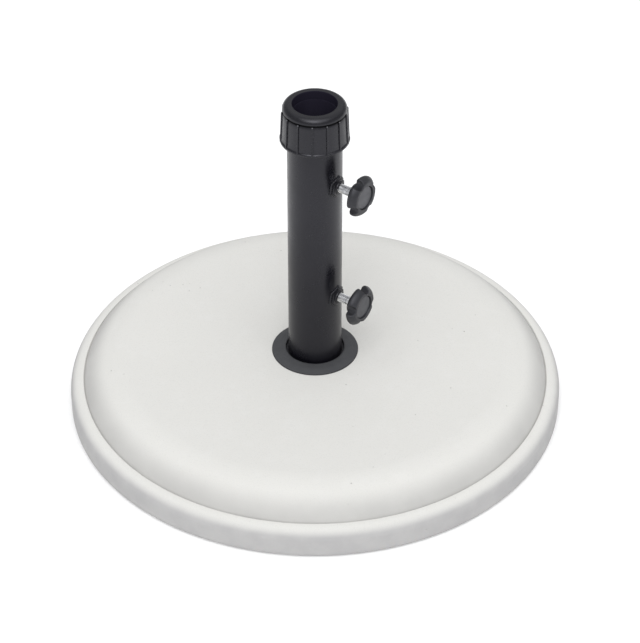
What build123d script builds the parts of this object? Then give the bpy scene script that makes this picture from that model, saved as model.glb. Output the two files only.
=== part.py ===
from build123d import *
import math
import os

# Parasol base: a round cast-concrete weight with a steel stand tube, two hand clamp screws and a
# lift-off collar on the tube's mouth. Millimetres, +Z up, origin on the ground under the tube's axis.
# Both clamp screws lie along +X.

# ---- Driving dimensions -------------------------------------------------------------------------
SLAB_RADIUS = 250.0
SLAB_UNDERSIDE = 2.0        # the rubber feet hold the slab this far off the ground
SLAB_TOP = 56.0
RIM_WALL_TOP = 18.5         # top of the straight outer wall
RIM_ROUND = 12.5            # radius of the bead that runs round the rim
CREASE_RADIUS = 235.7       # the sharp groove between the rim bead and the brow
CREASE_LOW = 29.6
BROW_ROUND = 54.0           # radius of the brow that leads up to the flat top
SLAB_EDGE_CHAMFER = 1.5

TUBE_RADIUS = 26.8
TUBE_WALL = 2.0
TUBE_FOOT = 32.0            # bottom of the tube inside the slab
TUBE_TOP = 340.0
SOCKET_GAP = 0.4            # gap between the tube and the slab's socket

ROSETTE_RADIUS = 43.75
ROSETTE_HOLE = 29.4
ROSETTE_EDGE = 1.2          # height of the rosette's outer edge
ROSETTE_RISE = 4.2          # height of the rosette beside the tube
ROSETTE_SKIN = 1.8
ROSETTE_WEB = 0.9           # height of the inner web that reaches in to the tube

POLE_BORE = 21.0            # radius of the bore that holds the parasol's pole
SLEEVE_FOOT = 286.0
SLEEVE_FLANGE = 2.0
SLEEVE_GAP = 0.2

COLLAR_TOP = 351.0
COLLAR_FOOT = 311.0
COLLAR_MOUTH = 21.4
COLLAR_MOUTH_CHAMFER = 1.0
COLLAR_GAP = 0.3            # running gap between the collar and the tube
COLLAR_LIP_RADIUS = 31.1
COLLAR_LIP_ROUND = 6.0
COLLAR_LIP_LOW = 343.6
COLLAR_NECK_RADIUS = 30.4
COLLAR_SKIRT_TOP_RADIUS = 31.2
COLLAR_SKIRT_RADIUS = 32.5
COLLAR_BEAD_RADIUS = 33.9
COLLAR_BEAD_TOP = 313.6
FIN_COUNT = 14
FIN_TURN = -7.3             # degrees from +X to the first fin
FIN_THICKNESS = 1.4
FIN_TOP = 344.0
FIN_TOP_RADIUS = 32.4
FIN_FOOT_RADIUS = 33.6

CLAMP_HEIGHTS = {"upper": 266.0, "lower": 135.0}
KNOB_TURNS = {"upper": 23.0, "lower": 75.0}     # degrees about +X from +Y to a knob's first notch
NUT_TURNS = {"upper": 19.0, "lower": 20.0}      # degrees about +X from +Y to a nut's first corner

THREAD_RADIUS = 4.6         # plain cylinder that stands in for the M10 thread
RUNNING_GAP = 0.05
M10_FLATS = 17.0            # width across flats of an M10 nut and head
M10_HEAD = 6.4
NUT_SEAT = 25.0             # the clamp nuts' inner faces, in shallow spot faces on the tube
NUT_FACE = 29.0
NUT_BOSS_RADIUS = 6.6       # round boss on the nut's face, where the thread starts
NUT_BOSS_FACE = 30.6
SPOT_FACE_RADIUS = 10.0
WALL_HOLE = 5.2             # hole in the tube's wall behind each nut

PAD_TIP = 21.8              # the thrust pads' inner faces, just clear of the pole bore
PAD_RADIUS = 4.2
PAD_FLOOR = 1.0
PAD_END = 25.6
DOG_RADIUS = 2.4            # turned point on the screw's tip, which turns in the pad
TIP_GAP = 0.3

KNOB_RADIUS = 20.5          # at the widest part of the barrel-shaped rim
KNOB_WIDEST = 53.6
KNOB_BACK = 49.8
KNOB_BACK_RADIUS = 17.5
KNOB_FACE = 59.9
KNOB_FACE_RADIUS = 16.2
KNOB_LOBES = 4
KNOB_NOTCH = 4.9
KNOB_NOTCH_PITCH = 18.2     # radius of the circle on which the notches are centred
HUB_RADIUS = 10.8           # wide enough to leave a wall round the screw head
HUB_BACK = 45.9
CAP_RADIUS = 11.8
CAP_RECESS = 1.2            # how far the cap's face lies below the knob's rim
CAP_THICKNESS = 2.1
HEAD_SEAT = 50.0            # the screw head's bearing face in the knob

RECESS_RADIUS = 36.0        # recess under the slab for the anchor bolt
RECESS_TOP = 18.0
ANCHOR_HOLE = 5.8
PLATE_THICKNESS = 4.0
FOOT_NUT_HEIGHT = 8.4
WASHER_RADIUS = 30.0
WASHER_THICKNESS = 3.0
SPRING_WASHER_RADIUS = 9.0
SPRING_WASHER_THICKNESS = 2.5
SPRING_WASHER_SPLIT = 1.6
ANCHOR_END = 43.0
COVER_INSET = 0.6
COVER_SKIN = 2.0
COVER_SKIRT_TOP = 9.0

FOOT_COUNT = 4
FOOT_PITCH = 195.0
FOOT_RADIUS = 17.0
FOOT_POCKET_TOP = 5.0

BAR_RADIUS = 3.0            # reinforcing wire
HOOPS = {"outer_hoop": 205.0, "inner_hoop": 95.0}
HOOP_HEIGHT = 22.0
SPOKE_COUNT = 6
SPOKE_HEIGHT = 31.0
SPOKE_INNER = 55.0
SPOKE_OUTER = 214.0

TUBE_BORE = TUBE_RADIUS - TUBE_WALL
SOCKET_RADIUS = TUBE_RADIUS + SOCKET_GAP
HEX_RADIUS = M10_FLATS / math.sqrt(3)
PLATE_TOP = TUBE_FOOT + PLATE_THICKNESS

os.makedirs("parts", exist_ok=True)


def clamp_plane(x, z):
    """A plane square to a clamp screw, x out from the tube's axis and z above the ground."""
    return Plane(origin=(x, 0, z), x_dir=(0, 1, 0), z_dir=(1, 0, 0))


# ---- Reinforcement cast into the slab -------------------------------------------------------------
for hoop_name, hoop_radius in HOOPS.items():
    with BuildPart() as hoop:
        with BuildSketch(Plane.XZ):
            with Locations((hoop_radius, HOOP_HEIGHT)):
                Circle(BAR_RADIUS)
        revolve(axis=Axis.Z)
    hoop.part.label = hoop_name
    export_step(hoop.part, f"parts/{hoop_name}.step")

with BuildPart() as spoke_bars:
    with BuildSketch(Plane.YZ.offset(SPOKE_INNER)):
        with Locations((0, SPOKE_HEIGHT)):
            Circle(BAR_RADIUS)
    extrude(amount=SPOKE_OUTER - SPOKE_INNER)
    first_spoke = spoke_bars.part
    for index in range(1, SPOKE_COUNT):
        add(first_spoke.rotate(Axis.Z, index * 360 / SPOKE_COUNT))
spoke_bars.part.label = "spoke_bars"
export_step(spoke_bars.part, "parts/spoke_bars.step")

# ---- Concrete slab --------------------------------------------------------------------------------
rim_centre = SLAB_RADIUS - RIM_ROUND
brow_centre_height = SLAB_TOP - BROW_ROUND
brow_foot_height = CREASE_LOW + 0.7
brow_reach = math.sqrt(BROW_ROUND**2 - (brow_foot_height - brow_centre_height) ** 2)
brow_top_radius = CREASE_RADIUS - brow_reach
bead_inner_radius = CREASE_RADIUS + 0.9
bead_inner_height = RIM_WALL_TOP + math.sqrt(RIM_ROUND**2 - (rim_centre - bead_inner_radius) ** 2)
diagonal = math.sqrt(0.5)

with BuildPart() as concrete_slab:
    with BuildSketch(Plane.XZ):
        with BuildLine():
            Polyline(
                (0, SLAB_TOP),
                (0, SLAB_UNDERSIDE),
                (SLAB_RADIUS - SLAB_EDGE_CHAMFER, SLAB_UNDERSIDE),
                (SLAB_RADIUS, SLAB_UNDERSIDE + SLAB_EDGE_CHAMFER),
                (SLAB_RADIUS, RIM_WALL_TOP),
            )
            ThreePointArc(
                (SLAB_RADIUS, RIM_WALL_TOP),
                (rim_centre + RIM_ROUND * diagonal, RIM_WALL_TOP + RIM_ROUND * diagonal),
                (bead_inner_radius, bead_inner_height),
            )
            Polyline(
                (bead_inner_radius, bead_inner_height),
                (CREASE_RADIUS + 0.3, CREASE_LOW),
                (CREASE_RADIUS, brow_foot_height),
            )
            ThreePointArc(
                (CREASE_RADIUS, brow_foot_height),
                (brow_top_radius + BROW_ROUND / 2, brow_centre_height + BROW_ROUND * math.sqrt(0.75)),
                (brow_top_radius, SLAB_TOP),
            )
            Line((brow_top_radius, SLAB_TOP), (0, SLAB_TOP))
        make_face()
    revolve(axis=Axis.Z)
    # Socket for the tube, anchor hole and the recess under them
    with BuildSketch(Plane.XY.offset(TUBE_FOOT)):
        Circle(SOCKET_RADIUS)
    extrude(amount=SLAB_TOP, mode=Mode.SUBTRACT)
    with BuildSketch(Plane.XY):
        Circle(ANCHOR_HOLE)
    extrude(amount=SLAB_TOP, mode=Mode.SUBTRACT)
    with BuildSketch(Plane.XY):
        Circle(RECESS_RADIUS)
    extrude(amount=RECESS_TOP, mode=Mode.SUBTRACT)
    # Pockets for the feet
    with BuildSketch(Plane.XY):
        with PolarLocations(FOOT_PITCH, FOOT_COUNT, start_angle=45):
            Circle(FOOT_RADIUS)
    extrude(amount=FOOT_POCKET_TOP, mode=Mode.SUBTRACT)
    # Space that the reinforcing wire fills
    for hoop_radius in HOOPS.values():
        with BuildSketch(Plane.XZ):
            with Locations((hoop_radius, HOOP_HEIGHT)):
                Circle(BAR_RADIUS)
        revolve(axis=Axis.Z, mode=Mode.SUBTRACT)
    add(spoke_bars.part, mode=Mode.SUBTRACT)
concrete_slab.part.label = "concrete_slab"
export_step(concrete_slab.part, "parts/concrete_slab.step")

# ---- Rubber feet ----------------------------------------------------------------------------------
with BuildPart() as rubber_feet:
    with BuildSketch(Plane.XY):
        with PolarLocations(FOOT_PITCH, FOOT_COUNT, start_angle=45):
            Circle(FOOT_RADIUS)
    extrude(amount=FOOT_POCKET_TOP)
    chamfer(rubber_feet.faces().sort_by(Axis.Z)[:FOOT_COUNT].edges(), 0.8)
rubber_feet.part.label = "rubber_feet"
export_step(rubber_feet.part, "parts/rubber_feet.step")

# ---- Rosette round the tube's foot ----------------------------------------------------------------
with BuildPart() as tube_rosette:
    with BuildSketch(Plane.XZ):
        with BuildLine():
            Polyline(
                (ROSETTE_RADIUS, SLAB_TOP),
                (ROSETTE_RADIUS, SLAB_TOP + ROSETTE_EDGE),
                (ROSETTE_HOLE + 1.2, SLAB_TOP + ROSETTE_RISE),
                (ROSETTE_HOLE, SLAB_TOP + ROSETTE_RISE - 0.5),
                (ROSETTE_HOLE, SLAB_TOP + ROSETTE_WEB),
                (SOCKET_RADIUS, SLAB_TOP + ROSETTE_WEB),
                (SOCKET_RADIUS, SLAB_TOP),
                (ROSETTE_HOLE + ROSETTE_SKIN, SLAB_TOP),
                (ROSETTE_HOLE + ROSETTE_SKIN, SLAB_TOP + ROSETTE_RISE - ROSETTE_SKIN),
                (ROSETTE_RADIUS - ROSETTE_SKIN, SLAB_TOP),
                close=True,
            )
        make_face()
    revolve(axis=Axis.Z)
tube_rosette.part.label = "tube_rosette"
export_step(tube_rosette.part, "parts/tube_rosette.step")

# ---- Stand tube -----------------------------------------------------------------------------------
with BuildPart() as stand_tube:
    with BuildSketch(Plane.XY.offset(TUBE_FOOT)):
        Circle(TUBE_RADIUS)
        Circle(TUBE_BORE, mode=Mode.SUBTRACT)
    extrude(amount=TUBE_TOP - TUBE_FOOT)
    for height in CLAMP_HEIGHTS.values():
        with BuildSketch(clamp_plane(0, height)):
            Circle(WALL_HOLE)
        extrude(amount=TUBE_RADIUS + 1, mode=Mode.SUBTRACT)
        with BuildSketch(clamp_plane(NUT_SEAT, height)):
            Circle(SPOT_FACE_RADIUS)
        extrude(amount=TUBE_RADIUS, mode=Mode.SUBTRACT)
stand_tube.part.label = "stand_tube"
export_step(stand_tube.part, "parts/stand_tube.step")

# ---- Foot plate, anchor bolt and its hardware -----------------------------------------------------
with BuildPart() as foot_plate:
    with BuildSketch(Plane.XY.offset(TUBE_FOOT)):
        Circle(TUBE_BORE)
        Circle(ANCHOR_HOLE, mode=Mode.SUBTRACT)
    extrude(amount=PLATE_THICKNESS)
foot_plate.part.label = "foot_plate"
export_step(foot_plate.part, "parts/foot_plate.step")

with BuildPart() as foot_nut:
    with BuildSketch(Plane.XY.offset(PLATE_TOP)):
        RegularPolygon(HEX_RADIUS, 6)
        Circle(THREAD_RADIUS + RUNNING_GAP, mode=Mode.SUBTRACT)
    extrude(amount=FOOT_NUT_HEIGHT)
foot_nut.part.label = "foot_nut"
export_step(foot_nut.part, "parts/foot_nut.step")

with BuildPart() as anchor_washer:
    with BuildSketch(Plane.XY.offset(RECESS_TOP - WASHER_THICKNESS)):
        Circle(WASHER_RADIUS)
        Circle(ANCHOR_HOLE, mode=Mode.SUBTRACT)
    extrude(amount=WASHER_THICKNESS)
anchor_washer.part.label = "anchor_washer"
export_step(anchor_washer.part, "parts/anchor_washer.step")

spring_washer_top = RECESS_TOP - WASHER_THICKNESS
with BuildPart() as spring_washer:
    with BuildSketch(Plane.XY.offset(spring_washer_top - SPRING_WASHER_THICKNESS)):
        Circle(SPRING_WASHER_RADIUS)
        Circle(THREAD_RADIUS + 0.6, mode=Mode.SUBTRACT)
        with Locations((SPRING_WASHER_RADIUS, 0)):
            Rectangle(2 * SPRING_WASHER_RADIUS, SPRING_WASHER_SPLIT, mode=Mode.SUBTRACT)
    extrude(amount=SPRING_WASHER_THICKNESS)
spring_washer.part.label = "spring_washer"
export_step(spring_washer.part, "parts/spring_washer.step")

anchor_head_top = spring_washer_top - SPRING_WASHER_THICKNESS
with BuildPart() as anchor_bolt:
    with BuildSketch(Plane.XY.offset(anchor_head_top - M10_HEAD)):
        RegularPolygon(HEX_RADIUS, 6)
    extrude(amount=M10_HEAD)
    with BuildSketch(Plane.XY.offset(anchor_head_top)):
        Circle(THREAD_RADIUS)
    extrude(amount=ANCHOR_END - anchor_head_top)
    chamfer(anchor_bolt.faces().sort_by(Axis.Z)[-1].edges(), 0.8)
anchor_bolt.part.label = "anchor_bolt"
export_step(anchor_bolt.part, "parts/anchor_bolt.step")

cover_face = SLAB_UNDERSIDE + COVER_INSET
with BuildPart() as base_cover:
    with BuildSketch(Plane.XY.offset(cover_face)):
        Circle(RECESS_RADIUS)
    extrude(amount=COVER_SKIN)
    with BuildSketch(Plane.XY.offset(cover_face + COVER_SKIN)):
        Circle(RECESS_RADIUS)
        Circle(RECESS_RADIUS - COVER_SKIN, mode=Mode.SUBTRACT)
    extrude(amount=COVER_SKIRT_TOP - cover_face - COVER_SKIN)
base_cover.part.label = "base_cover"
export_step(base_cover.part, "parts/base_cover.step")

# ---- Reducer sleeve in the tube's mouth -----------------------------------------------------------
with BuildPart() as reducer_sleeve:
    with BuildSketch(Plane.XY.offset(SLEEVE_FOOT)):
        Circle(TUBE_BORE - SLEEVE_GAP)
    extrude(amount=TUBE_TOP - SLEEVE_FOOT)
    with BuildSketch(Plane.XY.offset(TUBE_TOP)):
        Circle(TUBE_RADIUS)
    extrude(amount=SLEEVE_FLANGE)
    with BuildSketch(Plane.XY.offset(SLEEVE_FOOT)):
        Circle(POLE_BORE)
    extrude(amount=TUBE_TOP, mode=Mode.SUBTRACT)
reducer_sleeve.part.label = "reducer_sleeve"
export_step(reducer_sleeve.part, "parts/reducer_sleeve.step")

# ---- Lift-off collar ------------------------------------------------------------------------------
collar_seat = TUBE_TOP + SLEEVE_FLANGE
lip_shoulder = COLLAR_LIP_RADIUS - COLLAR_LIP_ROUND
lip_bend = COLLAR_TOP - COLLAR_LIP_ROUND
with BuildPart() as top_collar:
    with BuildSketch(Plane.XZ):
        with BuildLine():
            Polyline(
                (lip_shoulder, COLLAR_TOP),
                (COLLAR_MOUTH + COLLAR_MOUTH_CHAMFER, COLLAR_TOP),
                (COLLAR_MOUTH, COLLAR_TOP - COLLAR_MOUTH_CHAMFER),
                (COLLAR_MOUTH, collar_seat),
                (TUBE_RADIUS + COLLAR_GAP, collar_seat),
                (TUBE_RADIUS + COLLAR_GAP, COLLAR_FOOT),
                (COLLAR_BEAD_RADIUS, COLLAR_FOOT),
                (COLLAR_BEAD_RADIUS, COLLAR_BEAD_TOP),
                (COLLAR_SKIRT_RADIUS, COLLAR_BEAD_TOP + 0.8),
                (COLLAR_SKIRT_TOP_RADIUS, COLLAR_LIP_LOW - 1.4),
                (COLLAR_NECK_RADIUS, COLLAR_LIP_LOW),
                (COLLAR_LIP_RADIUS, lip_bend),
            )
            ThreePointArc(
                (COLLAR_LIP_RADIUS, lip_bend),
                (lip_shoulder + COLLAR_LIP_ROUND * diagonal, lip_bend + COLLAR_LIP_ROUND * diagonal),
                (lip_shoulder, COLLAR_TOP),
            )
        make_face()
    revolve(axis=Axis.Z)
    # Grip fins: thin blades that lean in towards the top and stand free of the lip
    with BuildSketch(Plane.XZ) as fin_outline:
        Polygon(
            (COLLAR_NECK_RADIUS - 1, COLLAR_BEAD_TOP - 1),
            (FIN_FOOT_RADIUS, COLLAR_BEAD_TOP - 1),
            (FIN_FOOT_RADIUS, COLLAR_BEAD_TOP + 1),
            (FIN_TOP_RADIUS, FIN_TOP - 1),
            (FIN_TOP_RADIUS - 0.6, FIN_TOP),
            (COLLAR_NECK_RADIUS - 1, FIN_TOP),
            align=None,
        )
    fin = extrude(fin_outline.sketch, amount=FIN_THICKNESS / 2, both=True, mode=Mode.PRIVATE)
    for index in range(FIN_COUNT):
        add(fin.rotate(Axis.Z, FIN_TURN + index * 360 / FIN_COUNT))
top_collar.part.label = "top_collar"
export_step(top_collar.part, "parts/top_collar.step")


# ---- Clamp screws ---------------------------------------------------------------------------------
def make_nut(level, height):
    """The thin hexagonal nut with a round boss, welded in a spot face on the tube."""
    with BuildPart() as nut:
        with BuildSketch(clamp_plane(NUT_SEAT, height)):
            RegularPolygon(HEX_RADIUS, 6, rotation=NUT_TURNS[level])
        extrude(amount=NUT_FACE - NUT_SEAT)
        with BuildSketch(clamp_plane(NUT_FACE, height)):
            Circle(NUT_BOSS_RADIUS)
        extrude(amount=NUT_BOSS_FACE - NUT_FACE)
        with BuildSketch(clamp_plane(NUT_SEAT, height)):
            Circle(THREAD_RADIUS + RUNNING_GAP)
        extrude(amount=NUT_BOSS_FACE - NUT_SEAT, mode=Mode.SUBTRACT)
    nut.part.label = f"{level}_nut"
    export_step(nut.part, f"parts/{level}_nut.step")


def make_screw(level, height):
    """The hex-headed clamp screw, with a turned point that the thrust pad sits on."""
    thread_start = PAD_END + TIP_GAP
    point_start = PAD_TIP + PAD_FLOOR + TIP_GAP
    with BuildPart() as screw:
        with BuildSketch(clamp_plane(point_start, height)):
            Circle(DOG_RADIUS)
        extrude(amount=thread_start - point_start)
        with BuildSketch(clamp_plane(thread_start, height)):
            Circle(THREAD_RADIUS)
        extrude(amount=HEAD_SEAT - thread_start)
        with BuildSketch(clamp_plane(HEAD_SEAT, height)):
            RegularPolygon(HEX_RADIUS, 6)
        extrude(amount=M10_HEAD)
    screw.part.label = f"{level}_screw"
    export_step(screw.part, f"parts/{level}_screw.step")


def make_pad(level, height):
    """The thrust pad that presses on the pole and doesn't turn with the screw."""
    with BuildPart() as pad:
        with BuildSketch(clamp_plane(PAD_TIP, height)):
            Circle(PAD_RADIUS)
        extrude(amount=PAD_END - PAD_TIP)
        chamfer(pad.faces().sort_by(Axis.X)[0].edges(), 0.6)
        with BuildSketch(clamp_plane(PAD_TIP + PAD_FLOOR, height)):
            Circle(DOG_RADIUS + RUNNING_GAP)
        extrude(amount=PAD_END, mode=Mode.SUBTRACT)
    pad.part.label = f"{level}_pad"
    export_step(pad.part, f"parts/{level}_pad.step")


def make_knob(level, height):
    """The lobed hand knob: barrel-shaped rim, rear hub, hex pocket for the head and a cap recess."""
    cap_seat = KNOB_FACE - CAP_RECESS - CAP_THICKNESS
    with BuildPart() as knob:
        with BuildSketch(Plane.XZ):
            with BuildLine():
                Polyline(
                    (KNOB_FACE, height + KNOB_FACE_RADIUS),
                    (KNOB_FACE, height),
                    (HUB_BACK, height),
                    (HUB_BACK, height + HUB_RADIUS),
                    (KNOB_BACK, height + HUB_RADIUS),
                    (KNOB_BACK, height + KNOB_BACK_RADIUS),
                )
                ThreePointArc(
                    (KNOB_BACK, height + KNOB_BACK_RADIUS),
                    (KNOB_WIDEST, height + KNOB_RADIUS),
                    (KNOB_FACE, height + KNOB_FACE_RADIUS),
                )
            make_face()
        revolve(axis=Axis((0, 0, height), (1, 0, 0)))
        with BuildSketch(clamp_plane(KNOB_BACK, height)):
            with PolarLocations(KNOB_NOTCH_PITCH, KNOB_LOBES, start_angle=KNOB_TURNS[level]):
                Circle(KNOB_NOTCH)
        extrude(amount=KNOB_FACE - KNOB_BACK, mode=Mode.SUBTRACT)
        with BuildSketch(clamp_plane(HUB_BACK, height)):
            Circle(THREAD_RADIUS + RUNNING_GAP)
        extrude(amount=HEAD_SEAT - HUB_BACK, mode=Mode.SUBTRACT)
        with BuildSketch(clamp_plane(HEAD_SEAT, height)):
            RegularPolygon(HEX_RADIUS, 6)
        extrude(amount=KNOB_FACE - HEAD_SEAT, mode=Mode.SUBTRACT)
        with BuildSketch(clamp_plane(cap_seat, height)):
            Circle(CAP_RADIUS)
        extrude(amount=KNOB_FACE - cap_seat, mode=Mode.SUBTRACT)
    knob.part.label = f"{level}_knob"
    export_step(knob.part, f"parts/{level}_knob.step")


def make_knob_cap(level, height):
    """The round cover disc that hides the screw's head."""
    with BuildPart() as knob_cap:
        with BuildSketch(clamp_plane(KNOB_FACE - CAP_RECESS - CAP_THICKNESS, height)):
            Circle(CAP_RADIUS)
        extrude(amount=CAP_THICKNESS)
        fillet(knob_cap.faces().sort_by(Axis.X)[-1].edges(), 0.5)
    knob_cap.part.label = f"{level}_knob_cap"
    export_step(knob_cap.part, f"parts/{level}_knob_cap.step")


for clamp_level, clamp_height in CLAMP_HEIGHTS.items():
    make_nut(clamp_level, clamp_height)
    make_screw(clamp_level, clamp_height)
    make_pad(clamp_level, clamp_height)
    make_knob(clamp_level, clamp_height)
    make_knob_cap(clamp_level, clamp_height)
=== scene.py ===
import math

import bmesh
import bpy
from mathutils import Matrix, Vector, noise


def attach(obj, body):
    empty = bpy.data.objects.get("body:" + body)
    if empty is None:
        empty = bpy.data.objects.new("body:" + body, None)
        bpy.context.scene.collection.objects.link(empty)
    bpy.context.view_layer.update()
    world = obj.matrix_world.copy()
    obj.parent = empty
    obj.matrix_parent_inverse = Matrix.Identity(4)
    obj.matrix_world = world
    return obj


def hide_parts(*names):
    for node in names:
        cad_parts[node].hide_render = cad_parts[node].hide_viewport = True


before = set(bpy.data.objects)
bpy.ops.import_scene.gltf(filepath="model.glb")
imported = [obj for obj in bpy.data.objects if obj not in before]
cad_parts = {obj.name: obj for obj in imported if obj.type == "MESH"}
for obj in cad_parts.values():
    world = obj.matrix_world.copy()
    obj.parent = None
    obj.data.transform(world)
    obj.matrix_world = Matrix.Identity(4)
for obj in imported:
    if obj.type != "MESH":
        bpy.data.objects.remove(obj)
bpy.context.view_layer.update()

# Parasol base: cast concrete weight, powder-coated stand tube, two hand clamp screws and a collar.
# Lengths are millimetres. MM turns them into metres, in build_mesh and in the masks of Surface.
MM = 0.001

# ---- Driving dimensions -----------------------------------------------------------------------------
SLAB_RADIUS, SLAB_TOP, SLAB_UNDERSIDE = 250.0, 56.0, 2.0
SOCKET_RADIUS, SOCKET_FLOOR, SOCKET_CHAMFER = 27.2, 32.0, 0.6
ANCHOR_HOLE_RADIUS = 5.8
RECESS_RADIUS, RECESS_TOP = 36.0, 18.0
RIM_ROUND, RIM_WALL_TOP, RIM_FOOT_ROUND = 12.5, 18.5, 1.5
CREASE_RADIUS, CREASE_LOW, CREASE_WIDTH = 235.7, 29.6, 0.9
BROW_ROUND, BROW_END = 54.0, 0.7
FOOT_PITCH, FOOT_RADIUS = 195.0, 17.0
POCKET_RADIUS, POCKET_TOP = 17.2, 5.0

ROSETTE_RADIUS, ROSETTE_MOUTH, ROSETTE_BORE = 43.75, 29.4, 27.1

TUBE_RADIUS, TUBE_BORE, TUBE_FOOT, TUBE_TOP = 26.8, 24.8, 32.0, 340.0
POLE_BORE = 21.0
SLEEVE_RADIUS, SLEEVE_FOOT, SLEEVE_TOP = 24.6, 286.0, 342.0

COLLAR_FOOT, COLLAR_BORE = 311.0, 27.1
MOUTH_RADIUS, MOUTH_FLARE, MOUTH_ROUND, MOUTH_EDGE = 21.4, 0.3, 0.7, 22.0
LIP_TOP, LIP_ROUND, LIP_RADIUS = 351.0, 6.0, 31.1
BEAD_RADIUS = 33.88
FIN_COUNT, FIN_TURN, FIN_TOP = 14, -7.3, 344.0
FIN_HALF_WIDTH = 1.3  # degrees

CLAMPS = {"upper": 266.0, "lower": 135.0}
HEX_FLATS = 17.0
NUT_TURNS = {"upper": 19.0, "lower": 20.0}
NUT_SEAT, NUT_FACE, NUT_BOSS = 25.0, 29.0, 1.6
SCREW_TIP, THREAD_START, HEAD_SEAT, HEAD_END = 23.1, 26.5, 50.0, 56.4
THREAD_PITCH, THREAD_CREST, THREAD_ROOT = 1.5, 4.6, 3.95
PAD_RADIUS, PAD_FACE, PAD_BACK = 4.2, 21.8, 25.6

KNOB_TURNS = {"upper": 23.0, "lower": 75.0}
LOBES = 4
KNOB_BACK, KNOB_WIDEST, KNOB_FACE = 49.8, 53.6, 59.9
KNOB_BACK_RADIUS, KNOB_RADIUS, KNOB_FACE_RADIUS = 17.5, 20.5, 16.2
NOTCH, NOTCH_PITCH, LOBE_ROUND = 4.9, 18.2, 1.0
BACK_ROUND, FACE_ROUND = 1.0, 0.9
HUB_RADIUS, HUB_BACK, HUB_BORE = 10.8, 45.9, 4.0
CAP_RADIUS, CAP_FACE, CAP_SEAT = 11.8, 58.7, 3.3
HEAD_SOCKET_RADIUS = 9.9


# ---- Materials --------------------------------------------------------------------------------------
# The colour sockets of a mix node, which share their names with its other sockets.
MIX_SHARE, MIX_FIRST, MIX_SECOND, MIX_RESULT = 0, 6, 7, 2
# Where a noise texture starts and stops varying, for an effect that is spread all over.
ALL_OVER = (0.3, 0.7)
COOL_SHEEN = (0.92, 0.92, 1.0, 1)


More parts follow.
